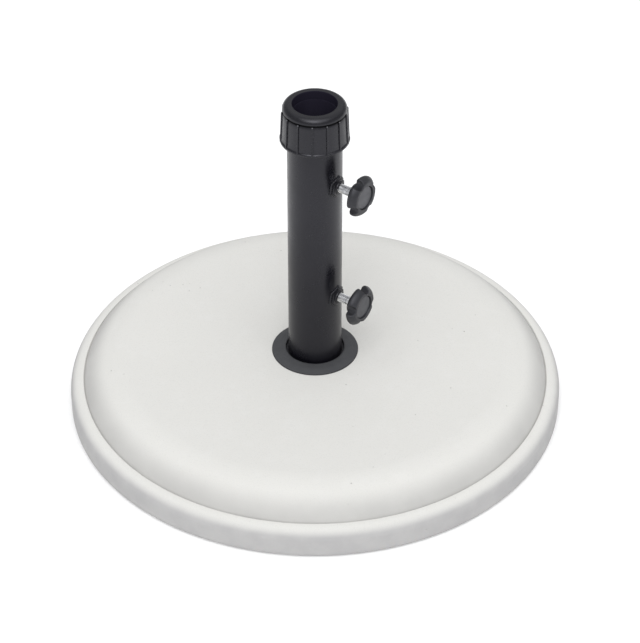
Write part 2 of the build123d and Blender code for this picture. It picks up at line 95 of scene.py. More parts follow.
class Surface:
    """A procedural material: tinted layers over a base colour, varied roughness and stacked bumps."""

    def __init__(self, name, base, rough, metallic=0.0, specular=0.5, stretch=(1, 1, 1)):
        self.material = bpy.data.materials.new(name)
        self.material.use_nodes = True
        self.tree = self.material.node_tree
        self.shader = self.tree.nodes["Principled BSDF"]
        self.shader.inputs["Metallic"].default_value = metallic
        self.shader.inputs["Specular IOR Level"].default_value = specular
        self.shader.inputs["Roughness"].default_value = rough
        self.shader.inputs["Base Color"].default_value = (*base, 1)
        coordinates = self.tree.nodes.new("ShaderNodeTexCoord")
        self.place = coordinates.outputs["Object"]
        mapping = self.tree.nodes.new("ShaderNodeMapping")
        mapping.inputs["Scale"].default_value = stretch
        self.tree.links.new(self.place, mapping.inputs["Vector"])
        self.stretched = mapping.outputs["Vector"]
        self.base = base
        self.colour = None
        self.normal = None

    def node(self, kind, **sockets):
        """A new node whose sockets are linked or set."""
        made = self.tree.nodes.new(kind)
        for key, value in sockets.items():
            self.feed(made.inputs[key], value)
        return made

    def feed(self, socket, value):
        """Links a socket to another node's output, or sets it to a number."""
        if isinstance(value, bpy.types.NodeSocket):
            self.tree.links.new(value, socket)
        else:
            socket.default_value = value

    def noise(self, scale, detail, stretched=False):
        place = self.stretched if stretched else self.place
        return self.node("ShaderNodeTexNoise", Vector=place, Scale=scale, Detail=detail).outputs["Fac"]

    def cells(self, scale):
        return self.node("ShaderNodeTexVoronoi", Vector=self.place, Scale=scale).outputs["Distance"]

    def span(self, value, low, high, out_low=0.0, out_high=1.0):
        """A smooth step from out_low to out_high while the value goes from low to high."""
        made = self.node("ShaderNodeMapRange", Value=value)
        made.interpolation_type = "SMOOTHSTEP"
        for key, number in zip(("From Min", "From Max", "To Min", "To Max"), (low, high, out_low, out_high)):
            made.inputs[key].default_value = number
        return made.outputs["Result"]

    def maths(self, operation, first, second):
        made = self.tree.nodes.new("ShaderNodeMath")
        made.operation = operation
        self.feed(made.inputs[0], first)
        self.feed(made.inputs[1], second)
        return made.outputs["Value"]

    def product(self, first, *others):
        """Masks and numbers multiplied together."""
        for other in others:
            first = self.maths("MULTIPLY", first, other)
        return first

    def patches(self, scale, detail, edges, least=0.0, most=1.0, stretched=False):
        """A cloudy mask that goes from least to most between two levels of a noise texture."""
        return self.span(self.noise(scale, detail, stretched), *edges, least, most)

    def dots(self, scale, edges):
        """A mask of small round dots, one to a cell, which fade out between two distances."""
        return self.span(self.cells(scale), *edges, 1.0, 0.0)

    def rise(self, length, start, end):
        """A mask that goes from 0 to 1 while a length goes from start to end, in millimetres."""
        return self.span(length, start * MM, end * MM)

    def fall(self, length, start, end):
        """A mask that goes from 1 to 0 while a length goes from start to end, in millimetres."""
        return self.span(length, start * MM, end * MM, 1.0, 0.0)

    def band(self, length, start, full, fading, end):
        """A mask that rises from start to full and falls from fading to end, in millimetres."""
        return self.product(self.rise(length, start, full), self.fall(length, fading, end))

    def radius_and_height(self):
        """The distance from the stand's axis and the height over the floor, in metres."""
        split = self.node("ShaderNodeSeparateXYZ", Vector=self.place).outputs
        squares = [self.product(split[axis], split[axis]) for axis in ("X", "Y")]
        return self.maths("SQRT", self.maths("ADD", *squares), 0.0), split["Z"]

    def tint(self, mask, colour):
        """Mixes the colour so far towards another by a mask from 0 to 1."""
        mix = self.tree.nodes.new("ShaderNodeMix")
        mix.data_type = "RGBA"
        self.feed(mix.inputs[MIX_SHARE], mask)
        self.feed(mix.inputs[MIX_FIRST], (*self.base, 1) if self.colour is None else self.colour)
        self.feed(mix.inputs[MIX_SECOND], (*colour, 1))
        self.colour = mix.outputs[MIX_RESULT]
        self.feed(self.shader.inputs["Base Color"], self.colour)

    def roughen(self, scale, detail, smooth, rough):
        """Varies the roughness between two values, all over."""
        self.feed(self.shader.inputs["Roughness"], self.patches(scale, detail, ALL_OVER, smooth, rough))

    def bump(self, height, depth):
        """Adds a relief, its depth in millimetres."""
        made = self.node("ShaderNodeBump", Height=height, Strength=1.0, Distance=depth * MM)
        if self.normal is not None:
            self.feed(made.inputs["Normal"], self.normal)
        self.normal = made.outputs["Normal"]
        self.feed(self.shader.inputs["Normal"], self.normal)


def lighter(colour, gain, lift):
    return tuple(channel * gain + lift for channel in colour)


def concrete_surface():
    """Pale cast concrete: cloudy, sandy and pitted, with painted shade at the crease, on the brow and on the
    outer wall, and darker towards the foot.
    """
    made = Surface("cast_concrete", (0.716, 0.710, 0.682), 0.9, specular=0.3)
    made.tint(made.patches(9, 4, (0.35, 0.7), most=0.35), (0.69, 0.684, 0.655))
    made.tint(made.patches(60, 5, (0.5, 0.75), most=0.3), (0.745, 0.74, 0.72))
    made.tint(made.patches(900, 3, (0.5, 0.72), most=0.28), (0.57, 0.57, 0.55))
    made.tint(made.patches(2100, 2, (0.56, 0.7), most=0.3), (0.78, 0.78, 0.76))
    pits = made.product(made.dots(95, (0.035, 0.085)), made.patches(31, 2, (0.55, 0.62)))
    made.tint(made.product(pits, 0.55), (0.36, 0.36, 0.35))
    radius, height = made.radius_and_height()
    # Painted shade: a darker band along the crease, where shade falls in the groove.
    crease = made.band(radius, *(CREASE_RADIUS + offset for offset in (-1.7, 0.0, 0.3, 1.8)))
    made.tint(made.product(crease, made.patches(45, 4, (0.3, 0.75), most=0.25)), (0.40, 0.40, 0.39))
    # Painted shade: the brow darkened where it rolls down towards the crease and turns from the light.
    brow = made.band(radius, *(CREASE_RADIUS + offset for offset in (-23.7, -1.2, -0.1, 0.5)))
    made.tint(made.product(brow, made.patches(22, 3, ALL_OVER, least=0.8)), (0.50, 0.495, 0.48))
    # Painted shade: the outer wall darkened because it faces sideways, away from the light above.
    wall = made.fall(height, CREASE_LOW - 6.6, CREASE_LOW + 1.1)
    made.tint(made.product(wall, made.patches(50, 4, ALL_OVER, least=0.85)), (0.455, 0.45, 0.45))
    foot = made.fall(height, SLAB_UNDERSIDE, SLAB_UNDERSIDE + 5.0)
    made.tint(made.product(foot, made.noise(70, 4), 0.5), (0.38, 0.375, 0.365))
    made.roughen(400, 3, 0.82, 0.98)
    made.bump(made.noise(75, 4), 0.10)
    made.bump(made.noise(700, 3), 0.07)
    made.bump(made.noise(1900, 3), 0.055)
    made.bump(made.maths("SUBTRACT", 1.0, pits), 0.5)
    return made.material


def powder_surface(name, base, rough):
    """Satin powder coat with faint mottling, a fine speckle of pale points painted as glints, and a few
    specks of dust.
    """
    made = Surface(name, base, rough, specular=0.45)
    made.shader.inputs["Specular Tint"].default_value = COOL_SHEEN
    made.tint(made.patches(14, 3, (0.4, 0.7), most=0.4), lighter(base, 1.5, 0.004))
    # Painted highlight: a fine speckle of pale points that stands in for the coat's glints.
    made.tint(made.patches(2600, 2, (0.62, 0.75), most=0.35), (0.035, 0.035, 0.036))
    dust = made.product(made.dots(420, (0.03, 0.07)), made.patches(25, 2, (0.5, 0.6)))
    made.tint(made.product(dust, 0.5), (0.09, 0.09, 0.088))
    made.roughen(40, 4, rough - 0.04, rough + 0.06)
    made.bump(made.noise(260, 2), 0.006)
    made.bump(made.noise(1100, 2), 0.004)
    return made.material


def plastic_layers(name, base, rough, grain=0.02, flow=0.25, specular=0.5):
    """Moulded plastic: upright flow marks, fine mottling, scuffs and a grain whose depth is in mm."""
    made = Surface(name, base, rough, specular=specular, stretch=(1, 1, 0.12))
    made.shader.inputs["Specular Tint"].default_value = COOL_SHEEN
    light = lighter(base, 1.35, 0.004)
    made.tint(made.patches(110, 3, (0.42, 0.7), most=flow, stretched=True), light)
    made.tint(made.patches(1500, 3, (0.55, 0.72), most=0.35), light)
    scratches = made.patches(900, 2, (0.66, 0.72), stretched=True)
    scuffs = made.product(scratches, made.patches(30, 2, (0.5, 0.65)), 0.45)
    made.tint(scuffs, lighter(base, 2.2, 0.02))
    made.roughen(160, 4, rough - 0.05, rough + 0.07)
    made.bump(made.cells(1700), grain)
    made.bump(made.noise(240, 3), grain * 0.8)
    return made


def plastic_surface(*settings, **options):
    return plastic_layers(*settings, **options).material


def collar_surface():
    """The collar's moulding: dark and dull in its mouth, with painted shade under the lip and a painted
    highlight on the fin tips.
    """
    made = plastic_layers("collar_moulding", (0.0060, 0.0058, 0.0080), 0.28, grain=0.010)
    radius, height = made.radius_and_height()
    mouth = made.fall(radius, MOUTH_EDGE - 0.15, MOUTH_EDGE + 0.15)
    made.tint(mouth, (0.021, 0.019, 0.032))
    # Painted shade: a near black band in the undercut under the lip, which also dulls the reflection there.
    under_lip_shade_band = made.band(height, *(FIN_TOP + offset for offset in (-1.6, -0.9, 0.9, 1.5)))
    gap = made.product(under_lip_shade_band, made.band(radius, 26.0, 26.5, 31.5, 31.8))
    made.tint(gap, (0.003, 0.003, 0.0035))
    # Painted highlight: a pale dot on the top end of each fin.
    fin_tip_highlight_band = made.band(height, *(FIN_TOP + offset for offset in (-1.3, -0.6, 0.1, 0.4)))
    tips = made.product(fin_tip_highlight_band, made.rise(radius, 31.6, 32.0))
    made.tint(made.product(tips, 0.8), (0.13, 0.13, 0.14))
    polish = made.patches(160, 4, ALL_OVER, 0.25, 0.33)
    made.feed(made.shader.inputs["Roughness"], made.maths("MAXIMUM", polish, made.product(mouth, 0.9)))
    dull = made.maths("MAXIMUM", made.product(mouth, 0.44), made.product(gap, 0.42))
    made.feed(made.shader.inputs["Specular IOR Level"], made.maths("SUBTRACT", 0.47, dull))
    return made.material


def rosette_surface():
    """The rosette's moulding, with painted shade in the gap round the tube and along its thin outer edge."""
    made = plastic_layers("rosette_moulding", (0.050, 0.0515, 0.054), 0.55, grain=0.03, flow=0.15)
    radius, _ = made.radius_and_height()
    # Painted shade: darker in the gap round the tube, where shade falls.
    made.tint(made.fall(radius, ROSETTE_MOUTH, ROSETTE_MOUTH + 0.7), (0.006, 0.006, 0.008))
    # Painted shade: a dark line along the thin outer edge, where it turns from the light and meets the slab.
    edge = made.rise(radius, ROSETTE_RADIUS - 0.55, ROSETTE_RADIUS - 0.15)
    made.tint(made.product(edge, 0.8), (0.014, 0.014, 0.016))
    return made.material


def zinc_surface(name, base=(0.76, 0.765, 0.78), rough=0.27, dull=(0.52, 0.53, 0.56)):
    """Plated or oiled steel with streaks along X, yellowed patches and dark spots."""
    made = Surface(name, base, rough, metallic=1.0, stretch=(0.08, 1, 1))
    made.tint(made.patches(900, 3, (0.4, 0.68), most=0.7, stretched=True), dull)
    made.tint(made.patches(120, 4, (0.52, 0.7), most=0.35), (0.66, 0.64, 0.58))
    made.tint(made.patches(500, 4, (0.64, 0.72), most=0.5), (0.24, 0.235, 0.23))
    made.roughen(350, 4, rough - 0.05, rough + 0.16)
    made.bump(made.noise(1500, 3, stretched=True), 0.012)
    made.bump(made.noise(500, 3), 0.010)
    return made.material


def rubber_surface():
    """Dull black rubber with dusty patches."""
    made = Surface("foot_rubber", (0.028, 0.028, 0.028), 0.75, specular=0.35)
    made.tint(made.patches(60, 4, (0.4, 0.75), most=0.5), (0.07, 0.068, 0.064))
    made.tint(made.patches(1300, 3, (0.6, 0.72), most=0.4), (0.06, 0.06, 0.058))
    made.roughen(300, 4, 0.68, 0.9)
    made.bump(made.noise(900, 4), 0.05)
    made.bump(made.cells(450), 0.03)
    return made.material


def rolled_surface():
    """Hot-rolled bar with rust."""
    made = Surface("rebar_rust", (0.20, 0.17, 0.155), 0.6, metallic=0.7)
    made.tint(made.patches(90, 5, (0.45, 0.62), most=0.8), (0.24, 0.11, 0.06))
    made.tint(made.patches(700, 4, (0.5, 0.7), most=0.5), (0.10, 0.07, 0.055))
    made.roughen(200, 4, 0.5, 0.85)
    made.bump(made.noise(600, 4), 0.08)
    return made.material


def nylon_surface():
    """Off-white nylon."""
    made = Surface("pad_nylon", (0.62, 0.61, 0.56), 0.45)
    made.tint(made.patches(400, 4, (0.45, 0.7), most=0.5), (0.5, 0.48, 0.42))
    made.roughen(500, 3, 0.4, 0.55)
    made.bump(made.noise(1500, 3), 0.02)
    return made.material


concrete = concrete_surface()
powder_coat = powder_surface("satin_powder_coat", (0.0050, 0.0048, 0.0074), 0.29)
weld_coat = powder_surface("coated_nut_and_weld", (0.0070, 0.0068, 0.0088), 0.34)
collar_plastic = collar_surface()
sleeve_plastic = plastic_surface("sleeve_moulding", (0.021, 0.019, 0.032), 0.7, grain=0.01, specular=0.06)
knob_plastic = plastic_surface("knob_moulding", (0.0185, 0.0190, 0.0215), 0.44, grain=0.03)
cap_plastic = plastic_surface("knob_cap_moulding", (0.060, 0.061, 0.067), 0.42, grain=0.012)
rosette_plastic = rosette_surface()
cover_plastic = plastic_surface("cover_moulding", (0.03, 0.03, 0.03), 0.5)
screw_zinc = zinc_surface("screw_zinc_plate")
hardware_zinc = zinc_surface("hardware_zinc_plate", (0.62, 0.63, 0.65), 0.34)
spring_steel = zinc_surface("spring_steel_oiled", (0.33, 0.33, 0.35), 0.38, (0.2, 0.2, 0.21))
foot_rubber = rubber_surface()
rebar_rust = rolled_surface()
pad_nylon = nylon_surface()


# ---- Mesh code --------------------------------------------------------------------------------------
# Points closer than this are joined, and shorter edges removed, in metres.
JOIN_DISTANCE, LEAST_EDGE = 2e-6, 1e-7


def build_mesh(name, shells, material, sharp=32.0):
    """One object from shells, each a list of points and a list of faces, welded and smooth shaded."""
    points, faces = [], []
    for shell_points, shell_faces in shells:
        base = len(points)
        points += [Vector(point) * MM for point in shell_points]
        faces += [tuple(base + index for index in face) for face in shell_faces]
    mesh = bpy.data.meshes.new(name)
    mesh.from_pydata(points, [], faces)
    work = bmesh.new()
    work.from_mesh(mesh)
    bmesh.ops.remove_doubles(work, verts=work.verts, dist=JOIN_DISTANCE)
    bmesh.ops.dissolve_degenerate(work, edges=work.edges, dist=LEAST_EDGE)
    bmesh.ops.recalc_face_normals(work, faces=work.faces)
    work.to_mesh(mesh)
    work.free()
    mesh.shade_smooth()
    mesh.set_sharp_from_angle(angle=math.radians(sharp))
    mesh.materials.append(material)
    made = bpy.data.objects.new(name, mesh)
    bpy.context.scene.collection.objects.link(made)
    return made


def skin(rings, loop=False):
    """Quads between rings of equal length. Each ring is closed; loop also joins the last to the first."""
    width = len(rings[0])
    points = [point for ring in rings for point in ring]
    faces = []
    for row in range(len(rings) if loop else len(rings) - 1):
        here, after = row * width, (row + 1) % len(rings) * width
        for column in range(width):
            beside = (column + 1) % width
            faces.append((here + column, here + beside, after + beside, after + column))
    return points, faces


def rounded(corners, steps):
    """A closed outline whose corners (x, y, radius) are turned into arcs, where the radius isn't 0."""
    out = []
    for index, (x, y, radius) in enumerate(corners):
        if radius == 0:
            out.append((x, y))
            continue
        corner = Vector((x, y))
        before = (Vector(corners[index - 1][:2]) - corner).normalized()
        after = (Vector(corners[(index + 1) % len(corners)][:2]) - corner).normalized()
        half = before.angle(after) / 2
        centre = corner + (before + after).normalized() * radius / math.sin(half)
        start = corner + before * radius / math.tan(half) - centre
        end = corner + after * radius / math.tan(half) - centre
        first = math.atan2(start.y, start.x)
        turn = (math.atan2(end.y, end.x) - first + math.pi) % math.tau - math.pi
        for step in range(steps + 1):
            angle = first + turn * step / steps
            out.append((centre.x + radius * math.cos(angle), centre.y + radius * math.sin(angle)))
    return out


def arc(centre, radius, start, end, steps):
    """Points on an arc, angles in degrees."""
    out = []
    for step in range(steps + 1):
        angle = math.radians(start + (end - start) * step / steps)
        out.append((centre[0] + radius * math.cos(angle), centre[1] + radius * math.sin(angle)))
    return out


def full_turn(columns):
    """Evenly spaced angles over a full turn."""
    return [math.tau * column / columns for column in range(columns)]


def lathe(profile, columns, loop=True):
    """Turns (radius, height) points about the vertical axis."""
    turns = full_turn(columns)
    return skin([[(r * math.cos(a), r * math.sin(a), z) for a in turns] for r, z in profile], loop)


def clamp_lathe(profile, columns, height):
    """Turns (radius, x) points about a clamp screw's axis."""
    turns = full_turn(columns)
    return skin([[(x, r * math.cos(a), height + r * math.sin(a)) for a in turns] for r, x in profile])


def spread(first, last, count):
    """Evenly spaced numbers after first, up to and including last."""
    return [first + (last - first) * (index + 1) / count for index in range(count)]


def register(made, body, slot, *nodes):
    """Gives a piece its body and hides the CAD nodes that it replaces; slot is not used."""
    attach(made, body)
    if nodes:
        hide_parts(*nodes)


# ---- Concrete casting -------------------------------------------------------------------------------
SLAB_COLUMNS, POCKET_COLUMNS = 540, 72
# Height of each moulding wave in millimetres, and how many waves there are to a millimetre.
COARSE_WAVE, MIDDLE_WAVE, FINE_WAVE = (0.14, 0.018), (0.07, 0.075), (0.03, 0.31)
# Extra height of the fine waves at the crease and at the slab's foot.
CREASE_CHIPS, FOOT_CHIPS = 0.11, 0.16
# The top has no waves under the rosette. The outer wall is what lies farther out and lower than these.
FLAT_RADIUS, WALL_RADIUS, WALL_HEIGHT = SOCKET_RADIUS + 18, 240.0, 20.0


def foot_centres():
    """The centres of the four feet and of their pockets in the slab."""
    turns = [math.radians(45 + 90 * quarter) for quarter in range(4)]
    return [(FOOT_PITCH * math.cos(turn), FOOT_PITCH * math.sin(turn)) for turn in turns]


def slab_profile():
    """(radius, height) points from the recess through the socket, over the top and down the wall."""
    outline = [(RECESS_RADIUS, SLAB_UNDERSIDE)]
    outline += [(RECESS_RADIUS, z) for z in spread(SLAB_UNDERSIDE, RECESS_TOP, 5)]
    outline += [(r, RECESS_TOP) for r in spread(RECESS_RADIUS, ANCHOR_HOLE_RADIUS, 6)]
    outline += [(ANCHOR_HOLE_RADIUS, z) for z in spread(RECESS_TOP, SOCKET_FLOOR, 4)]
    outline += [(r, SOCKET_FLOOR) for r in spread(ANCHOR_HOLE_RADIUS, SOCKET_RADIUS, 5)]
    outline += [(SOCKET_RADIUS, z) for z in spread(SOCKET_FLOOR, SLAB_TOP - SOCKET_CHAMFER, 6)]
    outline += [(SOCKET_RADIUS + SOCKET_CHAMFER, SLAB_TOP)]
    brow_height = SLAB_TOP - BROW_ROUND
    brow_low = math.degrees(math.asin((CREASE_LOW + BROW_END - brow_height) / BROW_ROUND))
    brow_centre = (CREASE_RADIUS - BROW_ROUND * math.cos(math.radians(brow_low)), brow_height)
    outline += [(r, SLAB_TOP) for r in spread(SOCKET_RADIUS + SOCKET_CHAMFER, brow_centre[0], 34)]
    outline += arc(brow_centre, BROW_ROUND, 90, brow_low, 34)[1:]
    outline += [(CREASE_RADIUS + 0.05, CREASE_LOW + 0.3), (CREASE_RADIUS + 0.3, CREASE_LOW)]
    rim_centre = (SLAB_RADIUS - RIM_ROUND, RIM_WALL_TOP)
    rim_start = math.degrees(math.acos((CREASE_RADIUS + CREASE_WIDTH - rim_centre[0]) / RIM_ROUND))
    outline += arc(rim_centre, RIM_ROUND, rim_start, 0, 26)
    foot_centre = (SLAB_RADIUS - RIM_FOOT_ROUND, SLAB_UNDERSIDE + RIM_FOOT_ROUND)
    outline += [(SLAB_RADIUS, z) for z in spread(RIM_WALL_TOP, foot_centre[1], 7)]
    outline += arc(foot_centre, RIM_FOOT_ROUND, 0, -90, 4)[1:]
    return outline


def cast(point):
    """Moves a point of the casting by the slight waviness of a moulded surface."""
    x, y, z = point
    radius = math.hypot(x, y)
    if radius < FLAT_RADIUS:
        return point
    coarse = noise.noise(Vector(point) * COARSE_WAVE[1])
    middle = noise.noise(Vector(point) * MIDDLE_WAVE[1] + Vector((7, 3, 1)))
    fine = noise.noise(Vector(point) * FINE_WAVE[1] + Vector((1, 9, 4)))
    near_crease = max(0.0, 1 - abs(radius - CREASE_RADIUS) / 5) if z > 25 else 0.0
    near_foot = max(0.0, 1 - abs(z - 3) / 4) if radius > WALL_RADIUS else 0.0
    fine_height = FINE_WAVE[0] + CREASE_CHIPS * near_crease + FOOT_CHIPS * near_foot
    lift = COARSE_WAVE[0] * coarse + MIDDLE_WAVE[0] * middle + fine_height * fine
    if radius > WALL_RADIUS and z < WALL_HEIGHT:
        pull = 1 + (min(lift, 0.0) - 0.02) / radius
        return x * pull, y * pull, z
    if z > SLAB_UNDERSIDE + 0.1:
        return x, y, z + min(lift, 0.05)
    return point


def slab_shells():
    """The turned casting, its flat underside with four round openings, and the four foot pockets."""
    points, faces = lathe(slab_profile(), SLAB_COLUMNS, loop=False)
    loops = [points[-SLAB_COLUMNS:], points[:SLAB_COLUMNS]]
    pockets = []
    for x, y in foot_centres():
        sides = [
            (x + POCKET_RADIUS * math.cos(a), y + POCKET_RADIUS * math.sin(a))
            for a in full_turn(POCKET_COLUMNS)
        ]
        mouth, roof = ([(*side, z) for side in sides] for z in (SLAB_UNDERSIDE, POCKET_TOP))
        loops.append(mouth)
        pockets.append(skin([mouth, roof, [(x, y, POCKET_TOP)] * POCKET_COLUMNS]))
    work = bmesh.new()
    edges = []
    for circle in loops:
        corners = [work.verts.new(point) for point in circle]
        edges += [work.edges.new((corners[i - 1], corners[i])) for i in range(len(corners))]
    bmesh.ops.triangle_fill(work, use_beauty=True, use_dissolve=False, edges=edges)
    work.verts.index_update()
    underside = ([tuple(v.co) for v in work.verts], [tuple(v.index for v in f.verts) for f in work.faces])
    work.free()
    return [([cast(point) for point in points], faces), underside, *pockets]


casting = build_mesh("slab_casting", slab_shells(), concrete, sharp=40)
register(casting, "root", "concrete", "concrete_slab")

# ---- Rosette ----------------------------------------------------------------------------------------
ROSETTE_FOOT = SLAB_TOP + 0.05
rosette_profile = rounded(
    [
        (ROSETTE_RADIUS, SLAB_TOP + 0.02, 0.1),
        (ROSETTE_RADIUS, SLAB_TOP + 1.1, 0.35),
        (ROSETTE_RADIUS - 0.85, SLAB_TOP + 1.35, 0.25),
        (37.2, SLAB_TOP + 3.1, 6.0),
        (30.9, SLAB_TOP + 4.2, 0.8),
        (ROSETTE_MOUTH + 0.05, SLAB_TOP + 3.9, 0.5),
        (ROSETTE_MOUTH - 0.05, SLAB_TOP + 1.0, 0.3),
        (ROSETTE_BORE, SLAB_TOP + 0.9, 0.2),
        (ROSETTE_BORE, ROSETTE_FOOT, 0.1),
        (30.6, ROSETTE_FOOT, 0.3),
        (31.0, SLAB_TOP + 2.4, 0.4),
        (36.9, SLAB_TOP + 1.4, 3.0),
        (42.0, SLAB_TOP + 0.02, 0.1),
    ],
    steps=6,
)
rosette = build_mesh("rosette_ring", [lathe(rosette_profile, 240)], rosette_plastic)
register(rosette, "root", "rosette_plastic", "tube_rosette")

# ---- Stand tube -------------------------------------------------------------------------------------
TUBE_COLUMNS, HOLE_COLUMNS = 192, 64
TUBE_END_ROUND, TUBE_SHARP = 0.5, 30
# The screws' holes, the flats that seat the nuts, and the finer rows of the tube above and below them.
HOLE_RADIUS, SEAT_RADIUS, FINE_REACH = 5.2, 10.0, 15.0
CUTTER_END = 40.0


def cutter(name, radius, start, height):
    profile = [(0.0, start), (radius, start), (radius, CUTTER_END), (0.0, CUTTER_END)]
    return build_mesh(name, [clamp_lathe(profile, HOLE_COLUMNS, height)], powder_coat)


def tube_levels():
    """The heights of the tube's rows, closer together round the clamp screws."""
    stops = [TUBE_FOOT + TUBE_END_ROUND]
    for height in sorted(CLAMPS.values()):
        stops += [height - FINE_REACH, height + FINE_REACH]
    stops.append(TUBE_TOP - TUBE_END_ROUND)
    levels = []
    for first, last, count in zip(stops, stops[1:], (24, 24, 26, 24, 14)):
        levels += spread(first, last, count)
    return levels


def stand_tube():
    """The coated tube, turned and then cut for both clamp screws."""
    levels = tube_levels()
    profile = [(TUBE_RADIUS - TUBE_END_ROUND, TUBE_FOOT), (TUBE_RADIUS, TUBE_FOOT + TUBE_END_ROUND)]
    profile += [(TUBE_RADIUS, z) for z in levels]
    profile += [(TUBE_RADIUS - 0.15, TUBE_TOP - 0.15), (TUBE_RADIUS - TUBE_END_ROUND, TUBE_TOP)]
    profile += [(TUBE_BORE + 0.3, TUBE_TOP), (TUBE_BORE, TUBE_TOP - 0.3)]
    profile += [(TUBE_BORE, z) for z in reversed(levels[:-1])]
    profile += [(TUBE_BORE, TUBE_FOOT + 0.3), (TUBE_BORE + 0.3, TUBE_FOOT)]
    made = build_mesh("coated_tube", [lathe(profile, TUBE_COLUMNS)], powder_coat, sharp=TUBE_SHARP)
    cutters = []
    for level, height in CLAMPS.items():
        cutters.append(cutter(f"{level}_hole_cutter", HOLE_RADIUS, 0.0, height))
        cutters.append(cutter(f"{level}_spot_cutter", SEAT_RADIUS, NUT_SEAT, height))
    for tool in cutters:
        cut = made.modifiers.new(tool.name, "BOOLEAN")
        cut.operation, cut.solver, cut.object = "DIFFERENCE", "EXACT", tool
    shaped = bpy.data.meshes.new_from_object(made.evaluated_get(bpy.context.evaluated_depsgraph_get()))
    made.modifiers.clear()
    made.data = shaped
    shaped.name = "coated_tube"
    shaped.set_sharp_from_angle(angle=math.radians(TUBE_SHARP))
    for tool in cutters:
        mesh = tool.data
        bpy.data.objects.remove(tool)
        bpy.data.meshes.remove(mesh)
    return made


register(stand_tube(), "root", "powder_coat", "stand_tube")

# ---- Reducer sleeve ---------------------------------------------------------------------------------
SNAP_GROOVE_LOW, SNAP_GROOVE_HIGH, SNAP_GROOVE_RADIUS = 297.2, 299.2, 24.2
sleeve_profile = rounded(
    [
        (POLE_BORE, SLEEVE_FOOT, 0.4),
        (POLE_BORE, SLEEVE_TOP, 0.15),
        (TUBE_RADIUS, SLEEVE_TOP, 0.5),
        (TUBE_RADIUS, TUBE_TOP, 0.3),
        (SLEEVE_RADIUS, TUBE_TOP, 0.0),
        (SLEEVE_RADIUS, SNAP_GROOVE_HIGH + 0.8, 0.0),
        (SNAP_GROOVE_RADIUS, SNAP_GROOVE_HIGH, 0.2),
        (SNAP_GROOVE_RADIUS, SNAP_GROOVE_LOW, 0.2),
        (SLEEVE_RADIUS, SNAP_GROOVE_LOW - 0.8, 0.2),
        (SLEEVE_RADIUS, SLEEVE_FOOT + 2.0, 0.3),
        (SLEEVE_RADIUS - 0.7, SLEEVE_FOOT, 0.4),
    ],
    steps=4,
)
sleeve = build_mesh("bore_sleeve", [lathe(sleeve_profile, 144)], sleeve_plastic)
register(sleeve, "root", "sleeve_plastic", "reducer_sleeve")

# ---- Collar -----------------------------------------------------------------------------------------
# Half of the columns of one fin and its panel, in degrees from the fin's middle.
FIN_SIDES = (0.0, 0.45, 0.8, 1.05, 1.22, 1.42, 1.75, 2.6, 4.2, 6.2, 8.4, 10.6)
FIN_CROWN = 0.55
# How much lower and farther in the bead at the skirt's foot is at a fin than at mid panel.
BEAD_DROP, BEAD_DRAW = 0.45, 0.32


def collar_columns():
    """Angles round the collar with the share of the way from fin to mid panel, and the fin's crown."""
    half_pitch = 180 / FIN_COUNT
    offsets = [-side for side in reversed(FIN_SIDES[1:])] + list(FIN_SIDES) + [half_pitch]
    columns = []
    for fin in range(FIN_COUNT):
        for offset in offsets:
            share = min(1.0, abs(offset) / half_pitch)
            across = abs(offset) / FIN_HALF_WIDTH
            crown = (1 - across**4) ** 0.5 if across < 1 else None
            columns.append((math.radians(FIN_TURN + fin * 2 * half_pitch + offset), share, crown))
    return columns


